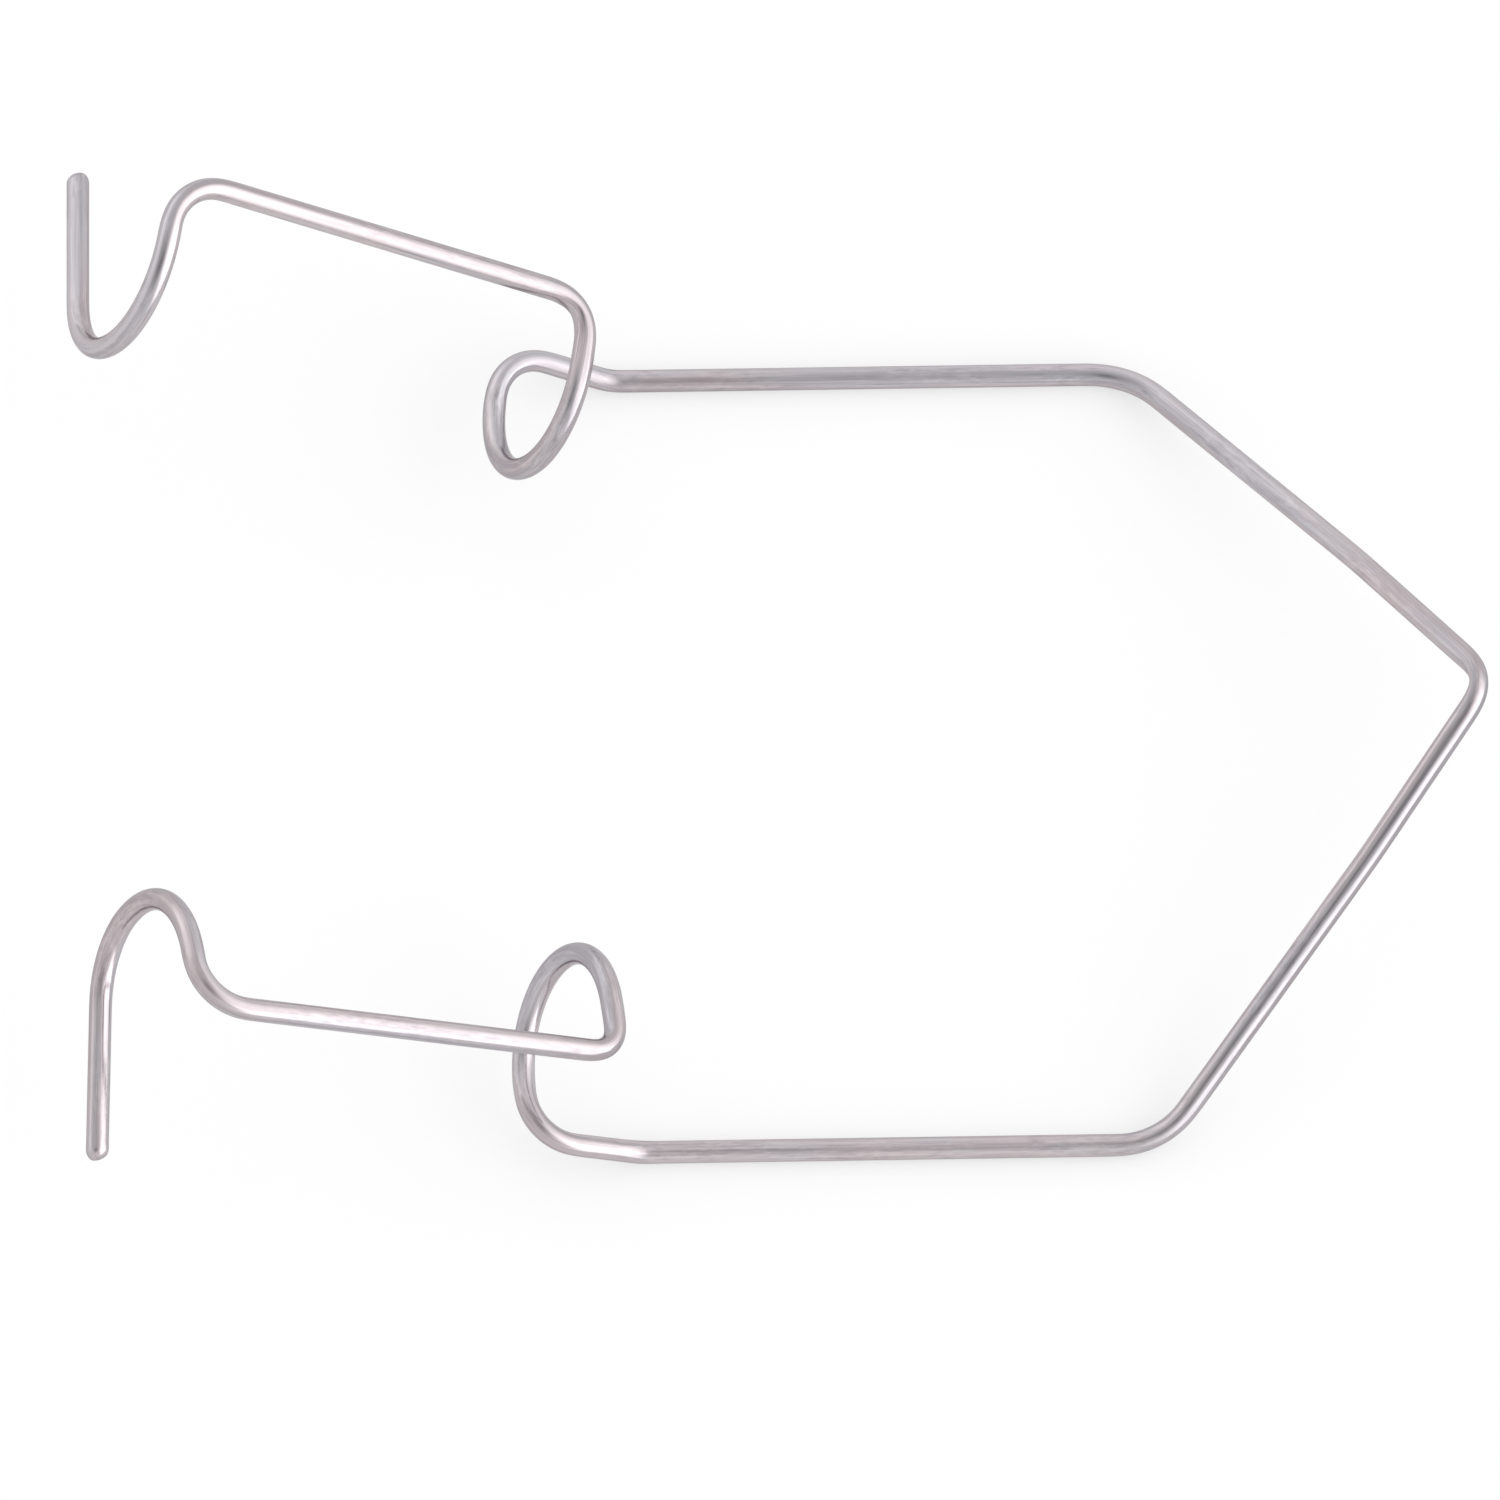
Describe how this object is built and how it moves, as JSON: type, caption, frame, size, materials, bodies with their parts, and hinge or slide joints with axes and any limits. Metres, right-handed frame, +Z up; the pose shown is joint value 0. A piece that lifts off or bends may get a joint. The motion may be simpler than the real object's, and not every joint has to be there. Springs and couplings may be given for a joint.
{
  "type": "eye speculum",
  "caption": "Wire eyelid speculum bent from a single stainless wire: a sprung V, straight arms and open, hooked blades that hold the eyelids apart.",
  "frame": {"origin": "on the surface it lies on, midway between the straight arms, at the corners where they turn up into the lid ends", "axes": "+X along the arms to the point of the V spring, +Y to the left side seen from the lid ends, +Z up, away from the surface and towards the eye in use"},
  "size_m": [0.0399, 0.0296, 0.0125],
  "materials": {
    "steel_wire": "satin drawn stainless wire"
  },
  "bodies": {
    "root": {"speculum_wire": "steel_wire"}
  },
  "joints": []
}
